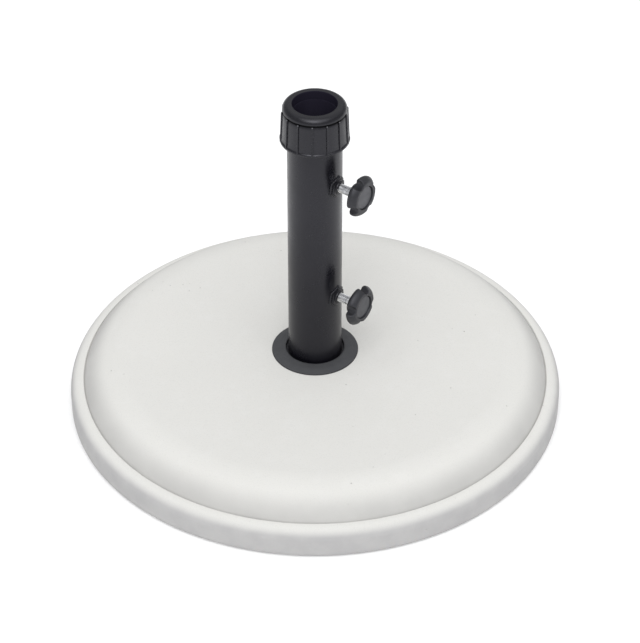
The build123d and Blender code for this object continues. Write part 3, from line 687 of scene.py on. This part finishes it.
def collar_rows():
    """(radius, height, fin radius or None, bead share) from the bore's foot round to the skirt's foot."""
    mouth_centre = (MOUTH_RADIUS + MOUTH_FLARE + MOUTH_ROUND, LIP_TOP - MOUTH_ROUND)
    lip_centre = (LIP_RADIUS - LIP_ROUND, LIP_TOP - LIP_ROUND)
    inside = [(COLLAR_BORE + 0.1, COLLAR_FOOT + 0.3), (COLLAR_BORE, COLLAR_FOOT + 0.8)]
    inside += [(COLLAR_BORE, z) for z in spread(COLLAR_FOOT + 0.8, SLEEVE_TOP - 0.3, 8)]
    inside += [(COLLAR_BORE - 0.3, SLEEVE_TOP), (24.0, SLEEVE_TOP), (MOUTH_RADIUS + 0.3, SLEEVE_TOP)]
    inside += [(MOUTH_RADIUS, SLEEVE_TOP + 0.3)]
    flare = spread(SLEEVE_TOP + 0.3, mouth_centre[1], 6)
    inside += [(MOUTH_RADIUS + MOUTH_FLARE * step / 5, z) for step, z in enumerate(flare)]
    inside += arc(mouth_centre, MOUTH_ROUND, 180, 90, 6)
    lip = [(r, LIP_TOP) for r in spread(mouth_centre[0], lip_centre[0], 3)]
    lip += arc(lip_centre, LIP_ROUND, 90, 0, 18)[1:]
    lip += [(31.0, FIN_TOP + 0.75), (30.6, FIN_TOP + 0.45), (30.1, FIN_TOP)]
    rows = [(r, z, None, 0) for r, z in inside + lip]
    for drop, fin in ((0.03, 31.4), (0.15, 31.9), (0.4, 32.22), (0.8, 32.38), (1.4, 32.45)):
        body = 30.05 + max(0.0, drop - 0.3) ** 1.5 * 0.6
        rows.append((body, FIN_TOP - drop, fin, 0))
    panel_top, panel_foot = FIN_TOP - 1.8, COLLAR_FOOT + 5.0
    for z in spread(panel_top, panel_foot, 12):
        share = (panel_top - z) / 27.4
        rows.append((31.15 + 1.25 * share, z, 32.46 + 1.1 * share, 0))
    rows += [
        (32.5, COLLAR_FOOT + 4.0, 33.6, 0),
        (32.55, COLLAR_FOOT + 3.4, 33.6, 0),
        (32.7, COLLAR_FOOT + 3.0, 33.62, 0.25),
        (33.2, COLLAR_FOOT + 2.7, 33.66, 0.7),
        (33.6, COLLAR_FOOT + 2.45, 33.75, 1.0),
        (33.8, COLLAR_FOOT + 2.1, 33.85, 1.0),
        (BEAD_RADIUS, COLLAR_FOOT + 1.6, BEAD_RADIUS, 1.0),
        (BEAD_RADIUS, COLLAR_FOOT + 0.8, BEAD_RADIUS, 1.0),
        (BEAD_RADIUS - 0.18, COLLAR_FOOT + 0.3, None, 0.6),
    ]
    return rows + [(r, COLLAR_FOOT, None, 0) for r in (33.3, 30.0, 27.5)]


def collar_rings():
    """The collar's rows, pushed out into fins and drawn in and down at the bead."""
    rings = []
    for radius, height, fin_radius, bead in collar_rows():
        ring = []
        for angle, share, crown in collar_columns():
            sag = bead * (1 - math.sin(share * math.pi / 2))
            reach = radius - BEAD_DRAW * sag
            level = height - BEAD_DROP * sag
            if fin_radius is not None and crown is not None:
                reach = max(reach, fin_radius - FIN_CROWN * (1 - crown))
            ring.append((reach * math.cos(angle), reach * math.sin(angle), level))
        rings.append(ring)
    return rings


collar = build_mesh("collar_moulding", [skin(collar_rings(), loop=True)], collar_plastic, sharp=42)
register(collar, "collar", "collar_plastic", "top_collar")


# ---- Clamp screws -----------------------------------------------------------------------------------
SCREW_COLUMNS = 48
# One pitch of the thread: how far along it is, and how high from root to crest.
THREAD_FORM = ((0.0, 0.0), (0.14, 0.0), (0.44, 1.0), (0.58, 1.0), (0.88, 0.0))
# The hexagon's corners are turned down to a cone of this slope, which starts inside the flats.
HEX_FACE_RADIUS, HEX_CONE_SLOPE = HEX_FLATS / 2 - 0.35, 0.55
NUT_BORE = 4.75
WELD_COLUMNS, WELD_SECTION = 216, 10


def hex_reach(turn, first):
    """How far a hexagon's side is from its axis at an angle, where one corner is at the first angle."""
    local = (math.degrees(turn) - first) % 60 - 30
    return HEX_FLATS / 2 / math.cos(math.radians(local))


def hexagon(back, front, bore, turn, height, chamfer_back=False, boss=0.0):
    """A hexagonal ring whose corners are turned to a cone, as on a nut, with an optional round boss."""
    columns = []
    for degree in range(0, 360, 5):
        angle = math.radians(turn + degree)
        reach = hex_reach(angle, turn)
        drop = (reach - HEX_FACE_RADIUS) * HEX_CONE_SLOPE
        back_drop = drop if chamfer_back else 0.05
        back_face = HEX_FACE_RADIUS if chamfer_back else reach - 0.05
        course = [(bore, back), (back_face, back), (reach, back + back_drop), (reach, (back + front) / 2)]
        course += [(reach, front - drop), (HEX_FACE_RADIUS, front)]
        if boss:
            course += [(7.0, front), (6.6, front + 0.35), (6.3, front + boss - 0.35), (5.9, front + boss)]
            course += [(bore, front + boss - 0.3)]
        else:
            course += [(bore + 0.7, front), (bore, front - 0.7)]
        columns.append([(x, r * math.cos(angle), height + r * math.sin(angle)) for r, x in course])
    return skin([list(ring) for ring in zip(*columns)], loop=True)


def weld_bead(level, height):
    """The lumpy fillet weld that follows the nut's foot round on the tube, thicker at the sides and top."""
    rings = []
    for index, turn in enumerate(full_turn(WELD_COLUMNS)):
        side = abs(math.cos(turn)) ** 1.5
        over = max(0.0, math.sin(turn)) ** 2
        drift = 2 * noise.noise(Vector((index * 0.05, height, 0)))
        ripple = 0.5 + 0.5 * math.sin(index * math.tau / 9 + drift)
        lump = noise.noise(Vector((math.cos(turn) * 2.2, math.sin(turn) * 2.2, height * 0.3)))
        size = 0.9 + 0.8 * side + 0.65 * over + 0.25 * ripple + 0.5 * lump
        reach = hex_reach(turn, NUT_TURNS[level]) + 0.15 + 0.3 * side + 0.35 * over
        y, z = reach * math.cos(turn), reach * math.sin(turn)
        x = math.sqrt(TUBE_RADIUS**2 - y * y) + 0.05
        ring = []
        for around in full_turn(WELD_SECTION):
            out, up = size * math.cos(around), size * 0.9 * math.sin(around)
            ring.append((x + up, y + out * math.cos(turn), height + z + out * math.sin(turn)))
        rings.append(ring)
    return skin(rings, loop=True)


def thread(start, end, height):
    """A helical screw thread, cut square at both ends."""
    turns = int((end - start) / THREAD_PITCH) + 3
    rows = [(pitch + share, form) for pitch in range(-1, turns) for share, form in THREAD_FORM]
    points, faces = [], []
    for offset, form in rows:
        for column in range(SCREW_COLUMNS + 1):
            angle = math.tau * column / SCREW_COLUMNS
            x = start + THREAD_PITCH * (offset + column / SCREW_COLUMNS)
            radius = THREAD_ROOT + (THREAD_CREST - THREAD_ROOT) * form
            if x < start or x > end:
                x, radius = min(max(x, start), end), THREAD_ROOT
            points.append((x, radius * math.cos(angle), height + radius * math.sin(angle)))
    width = SCREW_COLUMNS + 1
    for row in range(len(rows) - 1):
        for column in range(SCREW_COLUMNS):
            corner = row * width + column
            faces.append((corner, corner + 1, corner + width + 1, corner + width))
    return points, faces


def make_screw(level, height):
    """The screw: a neck that carries the pad, the thread and the hexagonal head inside the knob."""
    neck = [(0.0, SCREW_TIP), (1.9, SCREW_TIP), (2.4, SCREW_TIP + 0.5), (2.4, PAD_BACK)]
    neck += [(THREAD_ROOT - 0.6, PAD_BACK + 0.3), (THREAD_ROOT, THREAD_START)]
    shells = [
        clamp_lathe(neck, SCREW_COLUMNS, height),
        thread(THREAD_START, HEAD_SEAT, height),
        hexagon(HEAD_SEAT, HEAD_END, THREAD_ROOT, 0.0, height, chamfer_back=True),
    ]
    made = build_mesh(f"{level}_threaded_screw", shells, screw_zinc, sharp=28)
    register(made, f"{level}_clamp", "screw_zinc", f"{level}_screw")


def make_nut(level, height):
    """The nut with its round boss, edges softened by the coating, and its weld."""
    ring = hexagon(NUT_SEAT, NUT_FACE, NUT_BORE, NUT_TURNS[level], height, boss=NUT_BOSS)
    nut = build_mesh(f"{level}_hex_nut", [ring], weld_coat, sharp=28)
    soften = nut.modifiers.new("paint_edge", "BEVEL")
    soften.width, soften.segments, soften.limit_method = 0.4 * MM, 3, "ANGLE"
    soften.angle_limit = math.radians(25)
    register(nut, "root", "nut_paint", f"{level}_nut")
    weld = build_mesh(f"{level}_weld_bead", [weld_bead(level, height)], weld_coat, sharp=60)
    register(weld, "root", "nut_paint")


def make_pad(level, height):
    """The thrust pad, snapped over the screw's neck."""
    inside = PAD_FACE + 1.0
    profile = rounded(
        [
            (0.0, PAD_FACE, 0),
            (3.9, PAD_FACE, 0.6),
            (PAD_RADIUS, PAD_FACE + 0.8, 0.2),
            (PAD_RADIUS, PAD_BACK, 0.3),
            (2.45, PAD_BACK, 0.2),
            (2.45, inside, 0),
            (0.0, inside, 0),
        ],
        steps=4,
    )
    made = build_mesh(f"{level}_thrust_pad", [clamp_lathe(profile, 64, height)], pad_nylon)
    register(made, f"{level}_thrust", "pad_nylon", f"{level}_pad")


def lobed(radius, notch, pitch, fillet, turn):
    """A round outline with notches whose corners are rounded: (y, z) points, the same number each time."""
    reach = radius - fillet
    corner = math.acos((reach**2 + pitch**2 - (notch + fillet) ** 2) / (2 * pitch * reach))
    centre_y, centre_z = reach * math.cos(corner), reach * math.sin(corner)
    meet = math.atan2(centre_z, centre_y - pitch)
    half = [(pitch + notch * math.cos(a), notch * math.sin(a)) for a in spread(math.pi, meet, 8)]
    back = meet + math.pi
    if back > math.pi:
        back -= math.tau
    half += [
        (centre_y + fillet * math.cos(a), centre_z + fillet * math.sin(a))
        for a in spread(back, corner, 7)
    ]
    half += [(radius * math.cos(a), radius * math.sin(a)) for a in spread(corner, math.pi / LOBES, 8)]
    quarter = [(y, -z) for y, z in reversed(half[:-1])] + [(pitch - notch, 0.0)] + half
    out = []
    for lobe in range(LOBES):
        angle = math.radians(turn) + lobe * math.tau / LOBES
        cosine, sine = math.cos(angle), math.sin(angle)
        out += [(y * cosine - z * sine, y * sine + z * cosine) for y, z in quarter]
    return out


def knob_rings(turn, height):
    """Rings from the hub's bore over the back, the barrel rim and the face into the cap recess."""
    sample = lobed(KNOB_BACK_RADIUS, NOTCH, NOTCH_PITCH, LOBE_ROUND, turn)
    angles = [math.atan2(z, y) for y, z in sample]

    def circle(radius, x):
        return [(x, radius * math.cos(a), height + radius * math.sin(a)) for a in angles]

    def rim_radius(x):
        """The barrel's radius, on a curve through its back, widest and face radii."""
        if x < KNOB_WIDEST:
            share = (KNOB_WIDEST - x) / (KNOB_WIDEST - KNOB_BACK)
            return KNOB_RADIUS - (KNOB_RADIUS - KNOB_BACK_RADIUS) * share**2.2
        share = (x - KNOB_WIDEST) / (KNOB_FACE - KNOB_WIDEST)
        return KNOB_RADIUS - (KNOB_RADIUS - KNOB_FACE_RADIUS) * share**1.8

    def outline(x, inset):
        """The lobed outline at a place along the axis; the notches get shallower towards the face."""
        share = (x - KNOB_BACK) / (KNOB_FACE - KNOB_BACK)
        pitch = NOTCH_PITCH - 0.3 + 1.5 * share**1.4
        fillet = max(0.5, LOBE_ROUND - inset * 0.5)
        shape = lobed(rim_radius(x) - inset, NOTCH + inset, pitch, fillet, turn)
        return [(x, y, height + z) for y, z in shape]

    def blend(first, second, share):
        return [tuple(a + (b - a) * share for a, b in zip(p, q)) for p, q in zip(first, second)]

    def course(*places):
        return [circle(radius, x) for radius, x in places]

    rings = course((HUB_BORE, HEAD_SEAT), (HUB_BORE, HUB_BACK + 0.4), (HUB_BORE + 0.4, HUB_BACK))
    rings += course((6.0, HUB_BACK), (HUB_RADIUS - 0.6, HUB_BACK), (HUB_RADIUS - 0.18, HUB_BACK + 0.18))
    rings += course((HUB_RADIUS, HUB_BACK + 0.6), (HUB_RADIUS, KNOB_BACK - 0.4))
    rings += course((HUB_RADIUS + 0.1, KNOB_BACK - 0.1), (HUB_RADIUS + 0.35, KNOB_BACK))
    back_inner, back_outer = circle(HUB_RADIUS + 0.6, KNOB_BACK), outline(KNOB_BACK, BACK_ROUND)
    rings += [blend(back_inner, back_outer, share) for share in (0, 0.35, 0.7, 1)]
    for swing in spread(0, math.pi / 2, 5):
        place = KNOB_BACK + BACK_ROUND * (1 - math.cos(swing))
        rings.append(outline(place, BACK_ROUND * (1 - math.sin(swing))))
    rings += [outline(x, 0) for x in spread(KNOB_BACK + BACK_ROUND, KNOB_FACE - FACE_ROUND, 12)]
    for swing in spread(0, math.pi / 2, 6):
        place = KNOB_FACE - FACE_ROUND * (1 - math.sin(swing))
        rings.append(outline(place, FACE_ROUND * (1 - math.cos(swing))))
    face_outer, face_inner = rings[-1], circle(CAP_RADIUS + 0.75, KNOB_FACE)
    rings += [blend(face_outer, face_inner, share) for share in (0.4, 0.8, 1)]
    rings += course((CAP_RADIUS + 0.45, KNOB_FACE - 0.08), (CAP_RADIUS + 0.3, KNOB_FACE - 0.3))
    rings += course((CAP_RADIUS + 0.25, KNOB_FACE - 2.6), (CAP_RADIUS - 1.5, KNOB_FACE - CAP_SEAT))
    return rings + course((HEAD_SOCKET_RADIUS, KNOB_FACE - CAP_SEAT), (HEAD_SOCKET_RADIUS, HEAD_SEAT))


def make_knob(level, height):
    """The lobed knob and the cap pressed into its face."""
    shell = skin(knob_rings(KNOB_TURNS[level], height), loop=True)
    knob = build_mesh(f"{level}_lobed_knob", [shell], knob_plastic, sharp=50)
    register(knob, f"{level}_clamp", "knob_plastic", f"{level}_knob")
    disc = [(0.0, CAP_FACE - 2.1), (CAP_RADIUS - 0.2, CAP_FACE - 2.1), (CAP_RADIUS - 0.1, CAP_FACE - 1.0)]
    disc += arc((CAP_RADIUS - 0.75, CAP_FACE - 0.75), 0.6, 0, 75, 5)
    for radius in (10.4, 9.2, 7.6, 5.6, 3.4, 1.4, 0.0):
        disc.append((radius, CAP_FACE - 0.05 - 0.15 * (radius / CAP_RADIUS) ** 2))
    cap = build_mesh(f"{level}_cap_disc", [clamp_lathe(disc, 96, height)], cap_plastic)
    register(cap, f"{level}_clamp", "knob_cap_plastic", f"{level}_knob_cap")


for clamp_level, clamp_height in CLAMPS.items():
    make_nut(clamp_level, clamp_height)
    make_screw(clamp_level, clamp_height)
    make_pad(clamp_level, clamp_height)
    make_knob(clamp_level, clamp_height)

# ---- Underside --------------------------------------------------------------------------------------
foot_profile = [(0.0, POCKET_TOP), (FOOT_RADIUS - 0.4, POCKET_TOP), (FOOT_RADIUS, POCKET_TOP - 0.4)]
foot_profile += [(FOOT_RADIUS, 1.2)] + arc((FOOT_RADIUS - 1.0, 1.0), 1.0, 0, -90, 5)
for groove in (13.6, 9.6, 5.6):
    foot_profile += [(groove + 1.0, 0.0), (groove + 0.5, 0.8), (groove - 0.5, 0.8), (groove - 1.0, 0.0)]
foot_profile += [(2.4, 0.0), (1.9, 0.9), (0.0, 0.9)]
foot_points, foot_faces = lathe(foot_profile, 72, loop=False)
foot_shells = [
    ([(x + centre_x, y + centre_y, z) for x, y, z in foot_points], foot_faces)
    for centre_x, centre_y in foot_centres()
]
feet = build_mesh("grooved_feet", foot_shells, foot_rubber)
register(feet, "root", "foot_rubber", "rubber_feet")

COVER_TOP, COVER_FLANGE, COVER_FACE, COVER_INSIDE = 4.6, 9.0, 2.6, 3.4
cover_profile = rounded(
    [
        (0.0, COVER_TOP, 0),
        (33.6, COVER_TOP, 0.4),
        (34.0, COVER_FLANGE, 0.4),
        (RECESS_RADIUS - 0.05, COVER_FLANGE, 0.4),
        (RECESS_RADIUS - 0.1, COVER_FACE, 0.9),
        (31.5, COVER_FACE, 0.3),
        (31.0, COVER_FACE + 0.7, 0.3),
        (28.6, COVER_FACE + 0.7, 0.3),
        (28.1, COVER_FACE, 0.3),
        (9.0, COVER_FACE, 0.4),
        (8.4, COVER_INSIDE, 0.4),
        (0.0, COVER_INSIDE, 0),
    ],
    steps=4,
)
cover = build_mesh("recess_cover", [lathe(cover_profile, 120, loop=False)], cover_plastic)
register(cover, "root", "cover_plastic", "base_cover")

# ---- Finishes of the CAD parts that keep their shape ------------------------------------------------
CAD_FINISHES = {
    "outer_hoop": rebar_rust,
    "inner_hoop": rebar_rust,
    "spoke_bars": rebar_rust,
    "foot_plate": powder_coat,
    "foot_nut": hardware_zinc,
    "anchor_bolt": hardware_zinc,
    "anchor_washer": hardware_zinc,
    "spring_washer": spring_steel,
}
for node_name, finish in CAD_FINISHES.items():
    part = bpy.data.objects[node_name]
    part.data.materials.clear()
    part.data.materials.append(finish)

# ---- Floor ------------------------------------------------------------------------------------------
FLOOR_REACH = 14.0  # metres

floor_material = bpy.data.materials.new("pale_floor")
floor_material.use_nodes = True
floor_shader = floor_material.node_tree.nodes["Principled BSDF"]
floor_shader.inputs["Base Color"].default_value = (0.92, 0.92, 0.92, 1)
floor_shader.inputs["Emission Color"].default_value = (1.0, 1.0, 1.0, 1)
floor_shader.inputs["Emission Strength"].default_value = 0.12
floor_shader.inputs["Roughness"].default_value = 1.0
floor_shader.inputs["Specular IOR Level"].default_value = 0.0
floor_mesh = bpy.data.meshes.new("studio_floor")
floor_corners = [(FLOOR_REACH * x, FLOOR_REACH * y, 0) for x, y in ((-1, -1), (1, -1), (1, 1), (-1, 1))]
floor_mesh.from_pydata(floor_corners, [], [(0, 1, 2, 3)])
floor_mesh.materials.append(floor_material)
floor = bpy.data.objects.new("studio_floor", floor_mesh)
bpy.context.scene.collection.objects.link(floor)

# ---- Camera, in metres ------------------------------------------------------------------------------
VIEW_TURN = math.radians(35.5)
VIEW_RISE = math.radians(37.445)
VIEW_DISTANCE, VIEW_LENS = 2.4475, 136.04
TARGET = Vector((0, 0, 0.1))
# How far the aim is moved in the picture, away from the target.
AIM_RIGHT, AIM_DOWN = 0.0050, 0.0073

right = Vector((math.cos(VIEW_TURN), math.sin(VIEW_TURN), 0))
level_towards = Vector((math.sin(VIEW_TURN), -math.cos(VIEW_TURN), 0))
towards = level_towards * math.cos(VIEW_RISE) + Vector((0, 0, math.sin(VIEW_RISE)))
upward = towards.cross(right)

camera_data = bpy.data.cameras.new("camera")
camera_data.sensor_width = 36.0
camera_data.lens = VIEW_LENS
camera_data.clip_end = 60.0
camera = bpy.data.objects.new("camera", camera_data)
bpy.context.scene.collection.objects.link(camera)
camera.location = TARGET + towards * VIEW_DISTANCE
aim = TARGET + right * AIM_RIGHT - upward * AIM_DOWN
camera.rotation_euler = (aim - camera.location).to_track_quat("-Z", "Y").to_euler()
bpy.context.scene.camera = camera


# ---- Light ------------------------------------------------------------------------------------------
def soft_light(name, turn_from_camera, rise, softness, strength):
    """A distant light, its angles in degrees and its turn measured from the camera towards the right."""
    turn, rise = math.radians(turn_from_camera), math.radians(rise)
    flat = right * math.sin(turn) + level_towards * math.cos(turn)
    source = flat * math.cos(rise) + Vector((0, 0, math.sin(rise)))
    lamp_data = bpy.data.lights.new(name, "SUN")
    lamp_data.energy = strength
    lamp_data.angle = math.radians(softness)
    lamp = bpy.data.objects.new(name, lamp_data)
    lamp.rotation_euler = source.to_track_quat("Z", "Y").to_euler()
    bpy.context.scene.collection.objects.link(lamp)


soft_light("key_softbox", 0, 60, softness=70, strength=1.35)
soft_light("front_softbox", -6, 55, softness=26, strength=0.6)
soft_light("top_softbox", 150, 75, softness=90, strength=0.5)

world = bpy.data.worlds.new("studio")
world.use_nodes = True
world.node_tree.nodes["Background"].inputs["Color"].default_value = (0.97, 0.98, 1.0, 1)
world.node_tree.nodes["Background"].inputs["Strength"].default_value = 0.45
bpy.context.scene.world = world
bpy.context.scene.view_settings.view_transform = "Standard"
